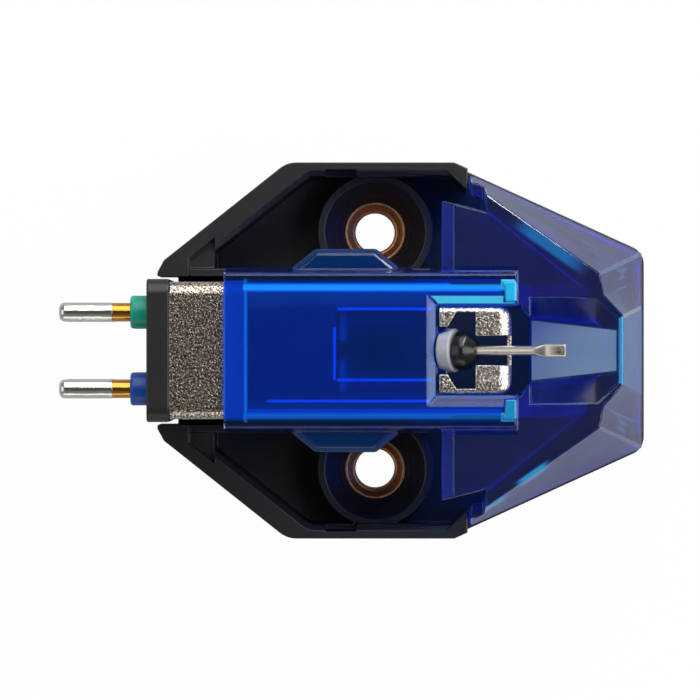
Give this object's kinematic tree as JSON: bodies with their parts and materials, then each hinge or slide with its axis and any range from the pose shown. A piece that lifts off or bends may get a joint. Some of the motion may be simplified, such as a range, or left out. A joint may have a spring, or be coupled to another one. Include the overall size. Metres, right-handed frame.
{
  "type": "turntable stylus cartridge",
  "caption": "Moving-magnet phono cartridge with a black housing, plated can, terminal pins and a blue see-through pull-off stylus holder with an open pivot.",
  "frame": {"origin": "on the flat headshell face, midway between the two mounting screws", "axes": "+X towards the nose, +Z from the headshell face towards the record, +Y across"},
  "size_m": [0.0312, 0.02, 0.018],
  "materials": {
    "housing_black": "satin moulded",
    "insert_brass": "machined thread",
    "can_nickel": "speckled nickel plate",
    "carrier_black": "satin moulded",
    "holder_blue": "polished, dyed, see-through",
    "bracket_nickel": "nickel plate",
    "ring_grey": "moulded",
    "damper_rubber": "moulded rubber",
    "cantilever_aluminium": "drawn tube",
    "diamond": "ground",
    "magnet_resin": "cast",
    "magnet_black": "sintered",
    "core_steel": "laminated",
    "pin_plating": "silver plate, gilt neck",
    "bobbin_plastic": "moulded",
    "coil_copper": "enamelled wire",
    "collar_green": "moulded",
    "collar_blue": "moulded",
    "collar_red": "moulded",
    "collar_white": "moulded"
  },
  "bodies": {
    "cartridge_body": {"housing": "housing_black", "thread_inserts": "insert_brass", "generator_can": "can_nickel", "pin_carrier": "carrier_black", "core_left": "core_steel", "core_right": "core_steel", "pin_green": "pin_plating", "collar_green": "collar_green", "pin_blue": "pin_plating", "collar_blue": "collar_blue", "pin_red": "pin_plating", "collar_red": "collar_red", "pin_white": "pin_plating", "collar_white": "collar_white", "bobbin_left_upper": "bobbin_plastic", "coil_left_upper": "coil_copper", "bobbin_left_lower": "bobbin_plastic", "coil_left_lower": "coil_copper", "bobbin_right_upper": "bobbin_plastic", "coil_right_upper": "coil_copper", "bobbin_right_lower": "bobbin_plastic", "coil_right_lower": "coil_copper"},
    "stylus_unit": {"stylus_holder": "holder_blue", "pivot_bracket": "bracket_nickel", "suspension_ring": "ring_grey"},
    "suspension": {"rubber_damper": "damper_rubber"},
    "cantilever_arm": {"cantilever": "cantilever_aluminium", "stylus_diamond": "diamond", "magnet_holder": "magnet_resin", "magnet_left": "magnet_black", "magnet_right": "magnet_black"}
  },
  "joints": [
    {"name": "stylus_pull", "type": "slide", "parent": "cartridge_body", "child": "stylus_unit", "axis": [1, 0, 0], "range_m": [0, 0.012]},
    {"name": "stylus_swing", "type": "hinge", "parent": "stylus_unit", "child": "suspension", "pos_m": [0.0043, 0, 0.01496], "axis": [-0.3907, 0, 0.9205], "range_deg": [-2.5, 2.5], "stiffness_Nm_per_rad": 0.0016},
    {"name": "stylus_dip", "type": "hinge", "parent": "suspension", "child": "cantilever_arm", "pos_m": [0.0043, 0, 0.01496], "axis": [0, 1, 0], "range_deg": [-1.5, 4], "stiffness_Nm_per_rad": 0.0016}
  ]
}
